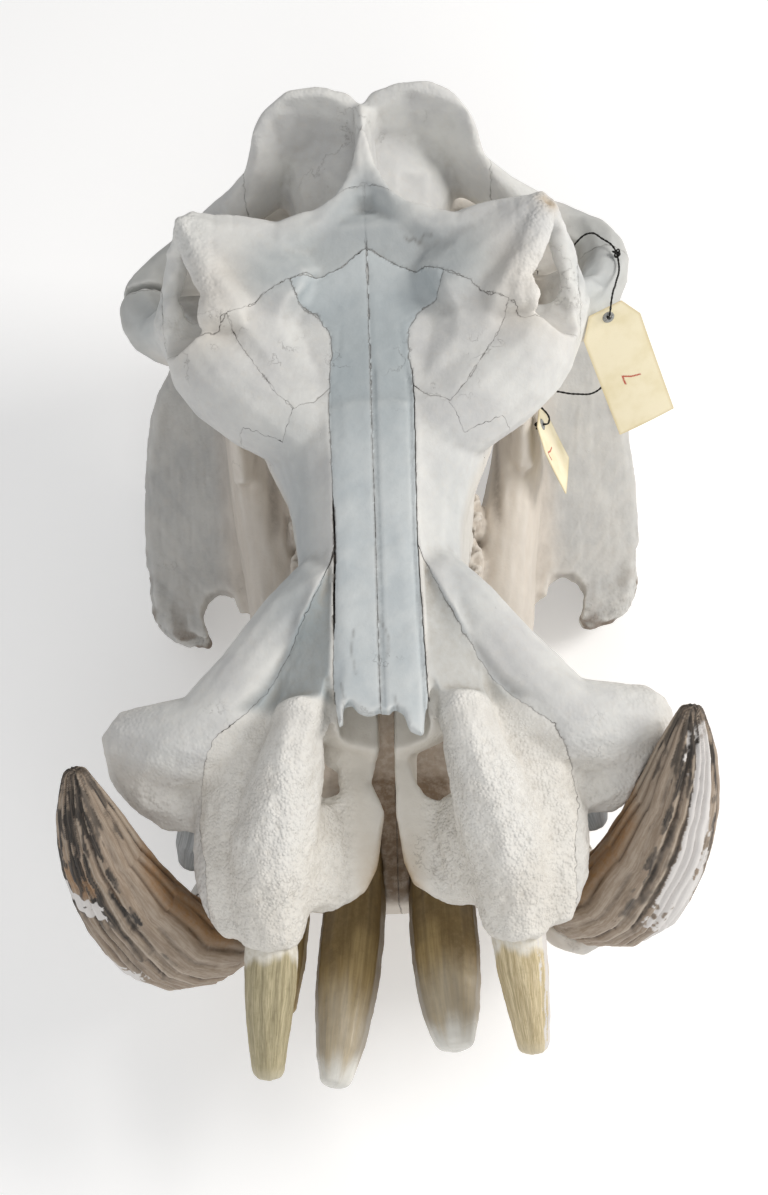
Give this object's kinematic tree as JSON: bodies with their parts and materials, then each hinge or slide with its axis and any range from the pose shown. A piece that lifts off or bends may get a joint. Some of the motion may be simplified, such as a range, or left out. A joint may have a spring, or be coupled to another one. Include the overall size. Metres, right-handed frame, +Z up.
{
  "type": "hippopotamus skull",
  "caption": "Complete skull and jaw of a large male hippopotamus, jaws closed, lying on its lower jaw, with curved tusks, forward incisors, and paper tags on a string.",
  "frame": {"origin": "centre of the bounding box at floor level, under the skull", "axes": "+Z up, +Y towards the back of the head, the nose points to -Y, +X towards the animal's left side"},
  "size_m": [0.4921, 0.7988, 0.3892],
  "materials": {
    "skull_bone": "dry, porous bone, matt",
    "nasal_bone": "smoother dry bone, matt, slightly bluish",
    "rough_bone": "rough, pitted dry bone, matt",
    "jaw_bone": "dry bone, warmer and stained in places, matt",
    "canine_ivory": "ridged grey-brown ivory, satin",
    "incisor_ivory": "worn ivory, satin to glossy",
    "card": "pale yellow paper card, matt",
    "string": "thin black twisted string, matt"
  },
  "bodies": {
    "root": {"braincase": "skull_bone", "frontal_l": "skull_bone", "frontal_r": "skull_bone", "lacrimal_l": "skull_bone", "lacrimal_r": "skull_bone", "lower_canine_l": "canine_ivory", "lower_canine_r": "canine_ivory", "lower_incisor_1_l": "incisor_ivory", "lower_incisor_1_r": "incisor_ivory", "lower_incisor_2_l": "incisor_ivory", "lower_incisor_2_r": "incisor_ivory", "mandible_l": "jaw_bone", "mandible_r": "jaw_bone", "maxilla_l": "skull_bone", "maxilla_r": "skull_bone", "nasal_l": "nasal_bone", "nasal_r": "nasal_bone", "premaxilla_l": "rough_bone", "premaxilla_r": "rough_bone", "tag_1": "card", "tag_2": "card", "tag_string": "string", "temporal_l": "skull_bone", "temporal_r": "skull_bone", "upper_canine_l": "canine_ivory", "upper_canine_r": "canine_ivory", "upper_incisor_1_l": "incisor_ivory", "upper_incisor_1_r": "incisor_ivory", "upper_incisor_2_l": "incisor_ivory", "upper_incisor_2_r": "incisor_ivory", "zygomatic_l": "skull_bone", "zygomatic_r": "skull_bone"}
  },
  "joints": []
}
